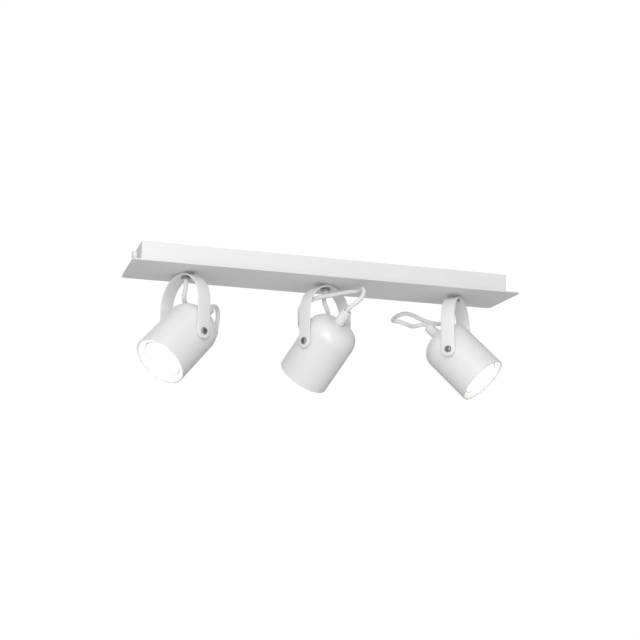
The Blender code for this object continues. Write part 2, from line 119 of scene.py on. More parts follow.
NIPPLE_STRAIGHT = 2.5

# Fixed wires inside the tray, in mm.
LEAD_ROUTES = {
    "left": ((-178, 0, -33.4), (-178, 0, -20), (-176.5, 0, -10.5), (-168, -2, -6.5),
             (-150, -8, -6), (-120, -13, -7.5), (-60, -14, -8), (0, -14, -8),
             (40, -13, -10), (62, -8.5, -16.5), (74.7, -8, -18.2)),
    "middle": ((0, 0, -33.4), (0, 0, -20), (1.5, 0, -10.5), (10, 0, -6.5), (30, 0, -6.5),
               (50, 0, -11), (64, 0, -17), (74.7, 0, -18.2)),
    "right": ((178, 0, -33.4), (178, 0, -20), (176.5, 0, -10.5), (168, 0, -6.5),
              (150, 0, -6.5), (130, 0, -11), (116, 0, -17), (105.3, 0, -18.2)),
}


# ---- settings ----
LENGTH = {"subtype": "DISTANCE", "unit": "LENGTH"}
COLOUR = {"size": 3, "min": 0, "max": 1, "subtype": "COLOR"}


class SpotBarSizes(bpy.types.PropertyGroup):
    """Sizes of the pieces that a user may change a little."""
    can_radius: FloatProperty(
        name="Can radius", description="Outside radius of each can",
        default=0.033, **LENGTH)
    yoke_width: FloatProperty(
        name="Yoke width", description="Width of the bent strap",
        default=0.0176, **LENGTH)
    cable_radius: FloatProperty(
        name="Cable radius", description="Radius of each free cable's sheath",
        default=0.00275, **LENGTH)
    edge_radius: FloatProperty(
        name="Edge radius", description="Round on the edges of cut sheet under the paint",
        default=0.0004, **LENGTH)


class SpotBarColours(bpy.types.PropertyGroup):
    """Colours of the finishes."""
    paint: FloatVectorProperty(
        name="Paint", description="Satin powder coat on all the outside metal",
        default=(0.82, 0.82, 0.82), **COLOUR)
    cable: FloatVectorProperty(
        name="Cable", description="Sheath of the free cables",
        default=(0.78, 0.78, 0.775), **COLOUR)
    screw: FloatVectorProperty(
        name="Screw", description="Dark plated screws and lock nuts",
        default=(0.24, 0.24, 0.245), **COLOUR)
    light: FloatVectorProperty(
        name="Light", description="Glow of the lamp faces",
        default=(1.0, 0.985, 0.95), **COLOUR)
    floor: FloatVectorProperty(
        name="Floor", description="Plain pale floor",
        default=(0.85, 0.85, 0.85), **COLOUR)


def sizes():
    """The sizes that the user has set."""
    return bpy.context.scene.spot_bar_sizes


def colours():
    """The colours that the user has set."""
    return bpy.context.scene.spot_bar_colours


# ---- places ----
def turn_about(axis, degrees):
    """A 3 x 3 turn about the x or z axis by the right-hand rule."""
    c, s = math.cos(math.radians(degrees)), math.sin(math.radians(degrees))
    if axis == "x":
        return np.array([[1, 0, 0], [0, c, -s], [0, s, c]])
    return np.array([[c, -s, 0], [s, c, 0], [0, 0, 1]])


def yoke_place(tag):
    """Turn and origin of a yoke's own frame: z stays up and x runs along the pivots."""
    along, pan, *_ = SPOTS[tag]
    return turn_about("z", pan), np.array([along * MM, 0.0, 0.0])


def can_place(tag):
    """Turn and origin of a can's own frame: origin on the pivot axis, +z out of the rear."""
    turn, _ = yoke_place(tag)
    _, _, tilt, shift = SPOTS[tag]
    pivot = np.array([[shift, 0.0, PIVOT_HEIGHT]]) * MM
    return turn @ turn_about("x", tilt), put(pivot, yoke_place(tag))[0]


def side_place(tag, side):
    """A can's frame with z turned out along the pivot axis, to one side."""
    turn, origin = can_place(tag)
    outward = np.array([[0, 0, side], [0, 1, 0], [-side, 0, 0]])
    return turn @ outward, origin


def put(points, place):
    """Points carried from a piece's own frame to the shared one."""
    turn, origin = place
    return points @ turn.T + origin


# ---- surfaces ----
def mesh_piece(name, points, faces):
    """One smooth mesh object with its place in its vertices and its faces outwards."""
    mesh = bpy.data.meshes.new(name)
    mesh.from_pydata(points.reshape(-1, 3).tolist(), [], faces)
    mesh.update()
    if enclosed_volume(mesh) < 0:
        mesh.flip_normals()
    mesh.shade_smooth()
    piece = bpy.data.objects.new(name, mesh)
    bpy.context.scene.collection.objects.link(piece)
    return piece


def enclosed_volume(mesh):
    """Sum over all triangles of a . (b x c) / 6, which is negative inside out."""
    mesh.calc_loop_triangles()
    corners = np.empty(len(mesh.loop_triangles) * 3, dtype=np.int32)
    mesh.loop_triangles.foreach_get("vertices", corners)
    places = np.empty(len(mesh.vertices) * 3)
    mesh.vertices.foreach_get("co", places)
    a, b, c = places.reshape(-1, 3)[corners.reshape(-1, 3)].transpose(1, 0, 2)
    return float(np.einsum("ij,ij->i", a, np.cross(b, c)).sum() / 6)


def ring_faces(rings, across, wrap_rings):
    """Quads between neighbouring rings of points, each ring closed on itself."""
    row = np.arange(rings if wrap_rings else rings - 1)
    a, b = np.meshgrid(row, np.arange(across), indexing="ij")
    c, d = (a + 1) % rings, (b + 1) % across
    quads = np.stack([a * across + b, a * across + d, c * across + d, c * across + b], axis=-1)
    return quads.reshape(-1, 4).tolist()


def loft(name, rings, wrap=False):
    """Skin over an array of rings (ring, point, xyz), flat faces closing its ends."""
    count, across = rings.shape[:2]
    faces = ring_faces(count, across, wrap)
    if not wrap:
        faces.append(list(range(across))[::-1])
        faces.append([(count - 1) * across + k for k in range(across)])
    return mesh_piece(name, rings, faces)


def rounded_profile(corners, radii, hold=0.0006, closed=False):
    """Corner points of a profile with each corner replaced by an arc.

    A corner of radius r whose sides turn by a is cut back by r tan(a / 2) on both
    sides, and a held point just outside each arc keeps the flats flat.
    """
    corners = np.asarray(corners, dtype=float)
    count = len(corners)
    points = []
    for k in range(count):
        radius = radii[k] if np.ndim(radii) else radii
        if radius <= 0 or (not closed and k in (0, count - 1)):
            points.append(corners[k])
            continue
        before = corners[k - 1] - corners[k]
        after = corners[(k + 1) % count] - corners[k]
        lengths = np.array([np.linalg.norm(before), np.linalg.norm(after)])
        before, after = before / lengths[0], after / lengths[1]
        turn = math.pi - math.acos(np.clip(before @ after, -1, 1))
        back = min(radius * math.tan(turn / 2), 0.8 * lengths.min())
        radius = back / math.tan(turn / 2)
        bisector = (before + after) / np.linalg.norm(before + after)
        middle = corners[k] + bisector * radius / math.cos(turn / 2)
        first, last = corners[k] + before * back, corners[k] + after * back
        share = np.linspace(0, 1, 5 if radius < 0.002 else 22)[:, None]
        chord = (1 - share) * first + share * last - middle
        arc = middle + chord / np.linalg.norm(chord, axis=1)[:, None] * radius
        spare = np.maximum(lengths - 2 * back, 0.3 * (lengths - back))
        margin = np.minimum(hold, 0.2 * spare)
        points += [first + before * margin[0], *arc, last + after * margin[1]]
    return np.array(points)


def lathe(name, profile, place, across=96, closed=False, swell=None, press=None):
    """Surface of revolution: a point at (r, h) sweeps r cos a, r sin a, h.

    The profile runs up its outer side. swell gives a factor on r, and press an offset
    on h, each from the angle, r and h.
    """
    angle = (np.arange(across) * 2 * math.pi / across)[None, :]
    radius, height = profile[:, :1], profile[:, 1:]
    factor = 1.0 if swell is None else swell(angle, radius, height)
    offset = 0.0 if press is None else press(angle, radius, height)
    across_axis = radius * factor * np.ones_like(angle)
    along_axis = (height + offset) * np.ones_like(angle)
    rings = np.stack([across_axis * np.cos(angle), across_axis * np.sin(angle), along_axis],
                     axis=-1)
    return loft(name, put(rings, place), wrap=closed)


def rounded_outline(length, width, corner, steps=7):
    """Offsets and centres of a rectangle's round corners, anticlockwise from +x."""
    angle = np.linspace(0, math.pi / 2, steps)
    angles = np.concatenate([angle + k * math.pi / 2 for k in range(4)])
    signs = np.repeat(np.array([[1, 1], [-1, 1], [-1, -1], [1, -1]]), steps, axis=0)
    centre = signs * np.array([length / 2 - corner, width / 2 - corner])
    return centre, np.stack([np.cos(angles), np.sin(angles)], axis=1)


def slab_rings(length, width, corner, profile):
    """Rings of a rectangle with round corners; a profile point is (inset, height).

    An inset moves the outline in by that much while its corner centres stay put, and
    past the corner's radius the whole outline shrinks.
    """
    centre, outward = rounded_outline(length, width, corner)
    inset = profile[:, 0][:, None, None]
    radius = np.maximum(corner - inset, 0.00005)
    shrink = np.maximum(inset - corner + 0.00005, 0)
    flat = centre[None] - np.sign(centre)[None] * shrink + outward[None] * radius
    height = np.broadcast_to(profile[:, 1][:, None, None], flat.shape[:2] + (1,))
    return np.concatenate([flat, height], axis=2)


def distance_along(line):
    """Distance from a line's start to each of its points."""
    return np.concatenate(([0.0], np.cumsum(np.linalg.norm(np.diff(line, axis=0), axis=1))))


def smooth_line(route, step):
    """Even points along the cubic spline through a route's own points.

    The slopes at the points make the curve's second derivative continuous, and the
    first and last slopes follow the end chords.
    """
    knots = np.array(route, dtype=float)
    count = len(knots)
    span = np.linalg.norm(np.diff(knots, axis=0), axis=1)
    along = distance_along(knots)
    slope = np.diff(knots, axis=0) / span[:, None]
    matrix = np.zeros((count, count))
    wanted = np.zeros((count, 3))
    inner = np.arange(1, count - 1)
    matrix[inner, inner - 1] = span[inner]
    matrix[inner, inner] = 2 * (span[inner - 1] + span[inner])
    matrix[inner, inner + 1] = span[inner - 1]
    wanted[inner] = 3 * (span[inner, None] * slope[inner - 1]
                         + span[inner - 1, None] * slope[inner])
    matrix[0, 0] = matrix[-1, -1] = 1.0
    wanted[0], wanted[-1] = slope[0], slope[-1]
    tangent = np.linalg.solve(matrix, wanted)
    place = np.linspace(0.0, along[-1], 4000)
    piece = np.clip(np.searchsorted(along, place, side="right") - 1, 0, count - 2)
    width = span[piece][:, None]
    t = (place - along[piece])[:, None] / width
    curve = ((2 * t**3 - 3 * t**2 + 1) * knots[piece]
             + (t**3 - 2 * t**2 + t) * width * tangent[piece]
             + (3 * t**2 - 2 * t**3) * knots[piece + 1]
             + (t**3 - t**2) * width * tangent[piece + 1])
    run = distance_along(curve)
    even = np.linspace(0.0, run[-1], int(round(run[-1] / step)) + 1)
    return np.stack([np.interp(even, run, curve[:, axis]) for axis in range(3)], axis=1), run[-1]


def carried_frames(line):
    """Two directions across a line at each point, carried along it without twist.

    Each step removes from the last direction its part along the new tangent.
    """
    tangent = np.gradient(line, axis=0)
    tangent /= np.linalg.norm(tangent, axis=1)[:, None]
    side = np.cross(tangent[0], [0.0, 0.0, 1.0])
    if np.linalg.norm(side) < 0.1:
        side = np.cross(tangent[0], [1.0, 0.0, 0.0])
    sides = np.empty_like(line)
    for k, forward in enumerate(tangent):
        side = side - forward * (side @ forward)
        side = side / np.linalg.norm(side)
        sides[k] = side
    return sides, np.cross(tangent, sides)


def cord_tube(name, line, radius, across=24):
    """Round tube along a line, with the line's length and angle as its UV map."""
    side, up = carried_frames(line)
    angle = np.arange(across) * 2 * math.pi / across
    rings = (line[:, None, :] + radius
             * (np.cos(angle)[None, :, None] * side[:, None, :]
                + np.sin(angle)[None, :, None] * up[:, None, :]))
    piece = loft(name, rings)
    add_run_map(piece, distance_along(line), across)
    return piece


def add_run_map(piece, run, across):
    """UV map of a tube: u is the distance along it and v the share of a turn round it."""
    mesh = piece.data
    index = np.empty(len(mesh.loops), dtype=np.int32)
    mesh.loops.foreach_get("vertex_index", index)
    ring, turn = index // across, index % across
    share = turn / across
    total = np.empty(len(mesh.polygons), dtype=np.int32)
    mesh.polygons.foreach_get("loop_total", total)
    face = np.repeat(np.arange(len(total)), total)
    highest = np.zeros(len(total))
    np.maximum.at(highest, face, share)
    share = np.where((highest[face] - share > 0.5), share + 1.0, share)
    layer = mesh.uv_layers.new(name="along")
    layer.data.foreach_set("uv", np.stack([run[ring] * 10, share], axis=1).ravel())


# ---- finishes ----
class Number:
    """One number socket, so that shader maths is written as maths."""

    def __init__(self, tree, socket):
        self.tree = tree
        self.socket = socket

    def maths(self, operation, first, second):
        """One maths node on two numbers, each a socket or a constant."""
        node = self.tree.nodes.new("ShaderNodeMath")
        node.operation = operation
        for entry, value in zip(node.inputs, (first, second)):
            if isinstance(value, Number):
                self.tree.links.new(value.socket, entry)
            else:
                entry.default_value = value
        return Number(self.tree, node.outputs[0])

    def __add__(self, other):
        return self.maths("ADD", self, other)

    __radd__ = __add__

    def __mul__(self, other):
        return self.maths("MULTIPLY", self, other)

    __rmul__ = __mul__

    def __rsub__(self, other):
        return self.maths("SUBTRACT", other, self)


class Finish:
    """A material whose Principled shader is fed by the patterns of one real finish."""

    def __init__(self, name, **constants):
        self.material = bpy.data.materials.new(name)
        self.material.use_nodes = True
        self.tree = self.material.node_tree
        self.shader = self.tree.nodes["Principled BSDF"]
        for socket, value in constants.items():
            self.shader.inputs[socket.replace("_", " ")].default_value = value

    def add(self, kind, settings=None, sockets=None, out=0):
        """A node of this kind: settings first, then its sockets' values or links."""
        node = self.tree.nodes.new(kind)
        for name, value in (settings or {}).items():
            if name == "stops":
                for k, (place, colour) in enumerate(value):
                    stop = node.color_ramp.elements[k] if k < 2 else (
                        node.color_ramp.elements.new(place))
                    stop.position, stop.color = place, (*colour, 1.0)
            else:
                setattr(node, name, value)
        for key, value in (sockets or {}).items():
            if isinstance(value, Number):
                self.tree.links.new(value.socket, node.inputs[key])
            else:
                node.inputs[key].default_value = value
        return Number(self.tree, node.outputs[out])

    def place(self, scale=(1, 1, 1)):
        """Object coordinates in metres, scaled."""
        spot = self.add("ShaderNodeTexCoord", out="Object")
        return self.add("ShaderNodeMapping", None, {"Vector": spot, "Scale": scale})

    def along(self, scale):
        """The piece's own UV map, for patterns that follow a cord."""
        spot = self.add("ShaderNodeUVMap", {"uv_map": "along"})
        return self.add("ShaderNodeMapping", None, {"Vector": spot, "Scale": scale})

    def noise(self, vector, scale, detail):
        """Cloudy noise whose spots are about 1 / scale metres across."""
        return self.add("ShaderNodeTexNoise", None, {
            "Vector": vector, "Scale": scale, "Detail": detail})

    def cells(self, vector, scale, feature="F1"):
        """Distance from the nearest of scattered points."""
        return self.add("ShaderNodeTexVoronoi", {"feature": feature}, {
            "Vector": vector, "Scale": scale})

    def ramp(self, factor, *stops):
        """A number into colours through stops of (place, colour)."""
        return self.add("ShaderNodeValToRGB", {"stops": stops}, {"Fac": factor})

    def blend(self, factor, first, second):
        """One colour into another by a number."""
        sockets = {0: factor}
        for key, value in ((6, first), (7, second)):
            sockets[key] = value if isinstance(value, Number) else (*value, 1.0)
        return self.add("ShaderNodeMix", {"data_type": "RGBA"}, sockets, 2)

    def maths_step(self, value, edge):
        """1 where the value is below the edge, and 0 above it."""
        return self.add("ShaderNodeMath", {"operation": "LESS_THAN"}, {0: value, 1: edge})

    def feed(self, socket, value):
        """A value into one of the shader's own sockets."""
        self.tree.links.new(value.socket, self.shader.inputs[socket])

    def bump(self, height, depth):
        """Relief of this many metres between a height of 0 and 1."""
        self.feed("Normal", self.add("ShaderNodeBump", None, {
            "Height": height, "Distance": depth}))


def shade(colour, factor):
    """A colour made darker or lighter by a factor."""
    return tuple(float(channel) * factor for channel in colour)


def powder_coat(name, tone=1.0, gloss=0.36):
    """Satin powder coat: fine orange peel, faint clouding and a few dull specks."""
    finish = Finish(name, Specular_IOR_Level=0.5, Coat_Roughness=0.25)
    here = finish.place()
    peel = finish.noise(here, 650.0, 2.0)
    fine = finish.noise(here, 2600.0, 1.0)
    cloud = finish.noise(here, 28.0, 3.0)
    speck = finish.maths_step(finish.cells(here, 210.0), 0.045)
    white = colours().paint
    clouded = finish.blend(cloud, shade(white, 0.975 * tone), shade(white, 1.015 * tone))
    finish.feed("Base Color", finish.blend(speck * 0.25, clouded, shade(white, 0.8 * tone)))
    finish.feed("Roughness", gloss - 0.03 + cloud * 0.06 + fine * 0.03 + speck * 0.15)
    finish.feed("Coat Weight", 0.22 - cloud * 0.1)
    finish.bump(peel * 0.8 + fine * 0.2, 0.00004)
    return finish.material


def zinc_plate(name):
    """Bright zinc on steel strip: faint crystals, drawing lines and small dull marks."""
    finish = Finish(name, Metallic=1.0)
    here = finish.place()
    drawn = finish.noise(finish.place(scale=(60, 2600, 2600)), 1.0, 3.0)
    crystal = finish.cells(here, 420.0)
    dull = finish.noise(here, 90.0, 4.0)
    tone = finish.blend(dull, (0.50, 0.52, 0.54), (0.72, 0.73, 0.75))
    finish.feed("Base Color", finish.blend(crystal * 0.25, tone, (0.60, 0.63, 0.68)))
    finish.feed("Roughness", 0.24 + dull * 0.2 + drawn * 0.1)
    finish.bump(drawn, 0.00002)
    return finish.material


def dark_plate(name):
    """Dark plated steel of the screws and lock nuts, worn a little brighter in places."""
    finish = Finish(name, Metallic=0.85)
    here = finish.place()
    worn = finish.noise(here, 900.0, 3.0)
    grain = finish.noise(here, 5200.0, 2.0)
    dark = colours().screw
    finish.feed("Base Color", finish.ramp(worn, (0.35, shade(dark, 0.7)),
                                          (0.75, shade(dark, 2.2))))
    finish.feed("Roughness", 0.3 + grain * 0.18)
    finish.bump(grain, 0.00002)
    return finish.material


def cable_sheath(name):
    """Smooth flexible sheath: faint lengthwise drawing marks and a soft bloom."""
    finish = Finish(name, Specular_IOR_Level=0.45)
    drawn = finish.noise(finish.along((0.6, 26.0, 1.0)), 6.0, 2.0)
    bloom = finish.noise(finish.place(), 160.0, 3.0)
    white = colours().cable
    finish.feed("Base Color", finish.blend(bloom, shade(white, 0.96), shade(white, 1.03)))
    finish.feed("Roughness", 0.42 + drawn * 0.12)
    finish.bump(drawn, 0.00005)
    return finish.material


def woven_sleeve(name):
    """Heat-proof woven sleeve of the inner leads: two sets of crossing strands."""
    finish = Finish(name, Roughness=0.8)
    strands, crossed = (finish.add("ShaderNodeTexWave", {"bands_direction": "DIAGONAL"}, {
        "Vector": finish.along((34.0, slant, 1.0)), "Scale": 1.0}) for slant in (12.0, -12.0))
    weave = finish.add("ShaderNodeMath", {"operation": "MAXIMUM"}, {0: strands, 1: crossed})
    finish.feed("Base Color", finish.ramp(weave, (0.1, (0.16, 0.09, 0.05)),
                                          (0.9, (0.38, 0.23, 0.14))))
    finish.bump(weave, 0.00025)
    return finish.material


def moulded(name, colour, spots=500.0, gloss=0.42):
    """Moulded plastic or nylon: fine spark-eroded grain and slight flow marks."""
    finish = Finish(name)
    here = finish.place()
    grain = finish.noise(here, 2400.0, 2.0)
    flow = finish.noise(here, spots, 3.0)
    finish.feed("Base Color", finish.blend(flow, shade(colour, 0.93), shade(colour, 1.04)))
    finish.feed("Roughness", gloss + grain * 0.12)
    finish.bump(grain, 0.00003)
    return finish.material


def fired_ceramic(name):
    """Unglazed white ceramic with pores and small iron specks."""
    finish = Finish(name)
    here = finish.place()
    pores = finish.noise(here, 1800.0, 4.0)
    specks = finish.maths_step(finish.cells(here, 620.0), 0.12)
    finish.feed("Base Color", finish.blend(specks * 0.6, (0.80, 0.78, 0.72), (0.45, 0.38, 0.30)))
    finish.feed("Roughness", 0.55 + pores * 0.25)
    finish.bump(pores, 0.00008)
    return finish.material


def glowing_lens(name, power):
    """Lit face of a lamp: a fine field of small lenses in the opal."""
    finish = Finish(name, Roughness=0.25, Emission_Strength=power)
    here = finish.place()
    lenslet = finish.cells(here, 520.0, "SMOOTH_F1")
    cloud = finish.noise(here, 60.0, 2.0)
    glow = colours().light
    finish.feed("Base Color", finish.blend(cloud, (0.86, 0.86, 0.85), (0.93, 0.93, 0.92)))
    finish.feed("Emission Color", finish.blend(lenslet, shade(glow, 1.0), shade(glow, 0.8)))
    finish.bump(1.0 - lenslet, 0.0002)
    return finish.material


def lit_baffle(name, power):
    """White ring round the lamp face, with a painted glow: it emits light of its own in place of
    the lamp light that falls on it.
    """
    finish = Finish(name, Emission_Strength=power)
    here = finish.place()
    peel = finish.noise(here, 700.0, 2.0)
    cloud = finish.noise(here, 40.0, 2.0)
    white, glow = colours().paint, colours().light
    finish.feed("Base Color", finish.blend(cloud, shade(white, 0.98), shade(white, 1.03)))
    finish.feed("Roughness", 0.4 + cloud * 0.08)
    # Painted glow: this emission stands in for the lamp light that falls on the ring.
    finish.feed("Emission Color", finish.blend(cloud, shade(glow, 0.95), shade(glow, 1.0)))
    finish.bump(peel, 0.00004)
    return finish.material


def floor_finish(name):
    """Plain matt floor, mixed with a pale glow that only the camera sees."""
    finish = Finish(name)
    cloud = finish.noise(finish.place(), 1.3, 2.0)
    pale = colours().floor
    finish.feed("Base Color", finish.blend(cloud, shade(pale, 0.99), shade(pale, 1.01)))
    finish.feed("Roughness", 0.75 + cloud * 0.05)
    pale_glow = finish.add("ShaderNodeEmission", None, {"Strength": 0.92})
    seen = finish.add("ShaderNodeLightPath", out="Is Camera Ray") * 0.6
    mixed = finish.add("ShaderNodeMixShader", None, {
        0: seen, 1: Number(finish.tree, finish.shader.outputs[0]), 2: pale_glow})
    finish.tree.links.new(mixed.socket, finish.tree.nodes["Material Output"].inputs[0])
    return finish.material


def finish_for(name, make, *values):
    """One of the finishes, made the first time that it is asked for."""
    return bpy.data.materials.get(name) or make(name, *values)


def dress(piece, material, body, slot, *replaced):
    """Give a new piece its finish, its body and the frame parts that it stands for."""
    piece.data.materials.append(material)
    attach(piece, body)
    if replaced:
        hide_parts(*replaced)
    return piece


def redress(node, material):
    """Give a frame part that stays in view a better finish."""
    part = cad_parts[node]
    for holder in part.material_slots:
        holder.material = material
    if not part.material_slots:
        part.data.materials.append(material)


# ---- operators ----
class SPOTBAR_OT_stage(bpy.types.Operator):
    """Camera, pale floor, soft lights and a white surround"""
    bl_idname = "spot_bar.stage"
    bl_label = "Stage"

    def execute(self, context):
        scene = context.scene
        self.add_camera(scene)
        self.add_floor()
        self.add_lights(scene)
        self.add_surround(scene)
        scene.view_settings.view_transform = "Standard"
        return {"FINISHED"}

    def add_camera(self, scene):
        """The photo's camera, as fitted to it."""
        camera = bpy.data.objects.new("camera", bpy.data.cameras.new("camera"))
        scene.collection.objects.link(camera)
        camera.data.lens = 64.30
        camera.data.sensor_width = 36.0
        camera.data.clip_end = 60.0
        right = np.array([0.95071, -0.31005, 0.00456])
        up = np.array([-0.07262, -0.20832, 0.97536])
        ahead = np.array([0.30146, 0.92762, 0.22057])
        matrix = np.eye(4)
        matrix[:3, :3] = np.stack([right, up, -ahead], axis=1)
        matrix[:3, 3] = (-0.4372, -1.3233, -0.3870)
        camera.matrix_world = Matrix(matrix.tolist())
        scene.camera = camera

    def add_floor(self):
        """A flat round floor: rings of radius r at one height."""
        angle = np.arange(64) * 2 * math.pi / 64
        radius = np.array([0.5, 2.0, 8.0])[:, None]
        rings = np.stack([radius * np.cos(angle), radius * np.sin(angle),
                          np.full((3, 64), FLOOR_HEIGHT)], axis=-1)
        faces = ring_faces(3, 64, False) + [list(range(64))]
        mesh = bpy.data.meshes.new("floor")
        mesh.from_pydata(rings.reshape(-1, 3).tolist(), [], faces)
        mesh.update()
        mesh.materials.append(finish_for("floor", floor_finish))
        floor = bpy.data.objects.new("floor", mesh)
        bpy.context.scene.collection.objects.link(floor)

    def add_lights(self, scene):
        """Each light: place, height of the point that it faces, side and power."""
        lamps = {
            "key": ((-0.9, -2.4, 0.35), -0.08, 1.3, 33.0),
            "low": ((-0.6, -2.3, -1.0), -0.08, 1.2, 8.0),
            "top": ((-0.4, -1.6, 1.8), -0.08, 1.6, 4.0),
            "fill": ((2.2, -1.4, 0.2), -0.08, 1.6, 1.0),
            "back": ((0.4, 2.0, 0.9), -0.05, 1.6, 9.0),
            "left": ((-2.3, -0.6, 0.1), -0.08, 1.4, 4.0),
        }
        for name, (place, aim, side, power) in lamps.items():
            data = bpy.data.lights.new(name, "AREA")
            data.shape = "SQUARE"
            data.size = side
            data.energy = power
            light = bpy.data.objects.new(name, data)
            scene.collection.objects.link(light)
            light.matrix_world = facing(place, (0, 0, aim))

    def add_surround(self, scene):
        """White all round to the eye, softer as light and brighter from above."""
        world = bpy.data.worlds.new("surround")
        scene.world = world
        world.use_nodes = True
        tree = world.node_tree
        nodes, links = tree.nodes, tree.links
        seen = nodes["Background"]
        seen.inputs["Color"].default_value = (1, 1, 1, 1)
        seen.inputs["Strength"].default_value = 1.02
        lit = nodes.new("ShaderNodeBackground")
        place = nodes.new("ShaderNodeTexCoord")
        split = nodes.new("ShaderNodeSeparateXYZ")
        span = nodes.new("ShaderNodeMapRange")
        links.new(place.outputs["Generated"], split.inputs[0])
        links.new(split.outputs[2], span.inputs[0])
        for socket, value in (("From Min", -1), ("From Max", 1), ("To Min", 0.14),
                              ("To Max", 0.66)):
            span.inputs[socket].default_value = value
        links.new(span.outputs[0], lit.inputs["Strength"])
        path = nodes.new("ShaderNodeLightPath")
        mix = nodes.new("ShaderNodeMixShader")
        links.new(path.outputs["Is Camera Ray"], mix.inputs[0])
        links.new(lit.outputs[0], mix.inputs[1])
        links.new(seen.outputs[0], mix.inputs[2])
        links.new(mix.outputs[0], nodes["World Output"].inputs["Surface"])


def facing(place, target):
    """Matrix of a light at a place that shines towards a point."""
    place, target = Vector(place), Vector(target)
    turn = (target - place).to_track_quat("-Z", "Y").to_matrix().to_4x4()
    return Matrix.Translation(place) @ turn


class SPOTBAR_OT_cables(bpy.types.Operator):
    """The three free cables, each from its nipple to the boss on its can"""
    bl_idname = "spot_bar.cables"
    bl_label = "Cables"

    def execute(self, context):
        radius = sizes().cable_radius
        sheath = finish_for("cable_sheath", cable_sheath)
        for tag in SPOTS:
            line, length = cable_line(tag)
            piece = cord_tube(f"sheath_{tag}", line, radius)
            piece.data.materials.append(sheath)
            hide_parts(f"cable_{tag}")
            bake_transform(piece)
            (line[::2].tolist()
                    + ([] if len(line) % 2 else [line[-1].tolist()]))
        return {"FINISHED"}


def cable_line(tag):
    """Points of a free cable's centre line in the shared frame, and its length.

    Both ends run straight for a few mm, in line with the nipple and with the boss.
    """
    _, _, tilt, shift = SPOTS[tag]
    tilt = math.radians(tilt)
    rearward = np.array([0.0, -math.sin(tilt), math.cos(tilt)])
    pivot = np.array([shift, 0.0, PIVOT_HEIGHT])
    route = [*CABLE_ROUTES[tag], pivot + rearward * CABLE_ENTRY[tag],
             pivot + rearward * (CABLE_SEAT + SEAT_STRAIGHT),
             pivot + rearward * CABLE_SEAT]
    first, *middle, last = np.array(route) * MM
    line, length = smooth_line(middle, step=0.0012)
    share = np.array([[0.0], [0.5]])
    line = np.concatenate([first * (1 - share) + line[0] * share, line,
                           line[-1] * share[::-1] + last * (1 - share[::-1])])
    return put(line, yoke_place(tag)), length + (NIPPLE_STRAIGHT + SEAT_STRAIGHT) * MM


class SPOTBAR_OT_plate(bpy.types.Operator):
    """Flat sheet below the tray, its edges rounded under the paint"""
    bl_idname = "spot_bar.plate"
    bl_label = "Plate"

    def execute(self, context):
        low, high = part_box("base_plate")
        edge = sizes().edge_radius
        profile = rounded_profile(
            [(0.010, low[2]), (0.0, low[2]), (0.0, high[2]), (0.010, high[2])], edge)
        rings = slab_rings(high[0] - low[0], high[1] - low[1], 0.006, profile)
        piece = loft("plate", rings)
        dress(piece, finish_for("plate_coat", powder_coat, 0.99, 0.40), "bar", "plate_white",
              "base_plate")
        return {"FINISHED"}


class SPOTBAR_OT_tray(bpy.types.Operator):
    """Folded tray with soft bends along its floor, open to the ceiling"""
    bl_idname = "spot_bar.tray"
    bl_label = "Tray"

    def execute(self, context):
        low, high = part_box("canopy_tray")
        wall = TRAY_WALL
        profile = rounded_profile(
            [(0.010, low[2]), (0.0, low[2]), (0.0, high[2]), (wall, high[2]),
             (wall, low[2] + wall), (0.010, low[2] + wall)],
            (0, 0.0016, 0.0003, 0.0003, 0.0005, 0))
        rings = slab_rings(high[0] - low[0], high[1] - low[1], 0.0014, profile)
        piece = loft("tray", rings)
        dress(piece, finish_for("tray_coat", powder_coat, 1.0, 0.38), "bar", "tray_white",
              "canopy_tray")
        return {"FINISHED"}


class SPOTBAR_OT_thumb_screws(bpy.types.Operator):
    """Knurled round screws that hold the tray to the bracket, one at each end"""
    bl_idname = "spot_bar.thumb_screws"
    bl_label = "Thumb screws"

    def execute(self, context):
        coat = finish_for("knob_coat", powder_coat, 1.0, 0.34)
        for tag, side in (("left", -1), ("right", 1)):
            node = f"thumb_screw_{tag}"
            low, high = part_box(node)
            near, far = sorted((abs(low[0]), abs(high[0])))
            radius = (high[2] - low[2]) / 2
            face, under = far, far - KNOB_HEAD
            shank = [(0.0003, near), (0.0020, near), (0.0020, under - 0.0014),
                     (0.0030, under - 0.0014), (0.0030, under), (radius, under),
                     (radius, face), (0.0003, face)]
            profile = rounded_profile(shank, (0, 0.0003, 0, 0.0003, 0, 0.0006, 0.0012, 0),
                                      0.0004)
            outward = np.array([[0, 0, side], [0, 1, 0], [-side, 0, 0]])
            place = (outward, np.array([0.0, 0.0, (low[2] + high[2]) / 2]))
            piece = lathe(f"knob_{tag}", denser(profile, 0.0004), place, 144,
                          swell=knurl(radius, under), press=slot_across(face))
            dress(piece, coat, "bar", "knob_white", node)
        return {"FINISHED"}


def denser(profile, step):
    """A profile with points put between its own so that none are further apart than step."""
    gap = np.linalg.norm(np.diff(profile, axis=0), axis=1)
    parts = np.maximum(np.ceil(gap / step).astype(int), 1)
    index = np.repeat(np.arange(len(gap)), parts)
    share = np.concatenate([np.arange(n) / n for n in parts])[:, None]
    inner = profile[index] * (1 - share) + profile[index + 1] * share
    return np.concatenate([inner, profile[-1:]])


def knurl(radius, under):
    """Straight knurl: the rim's radius dips by 3% as the cosine of 24 times the angle."""
    def factor(angle, r, h):
        rim = np.clip((r - 0.8 * radius) / (0.15 * radius), 0, 1) * (h > under + 0.0004)
        return 1 - 0.03 * rim * (0.5 - 0.5 * np.cos(24 * angle))
    return factor


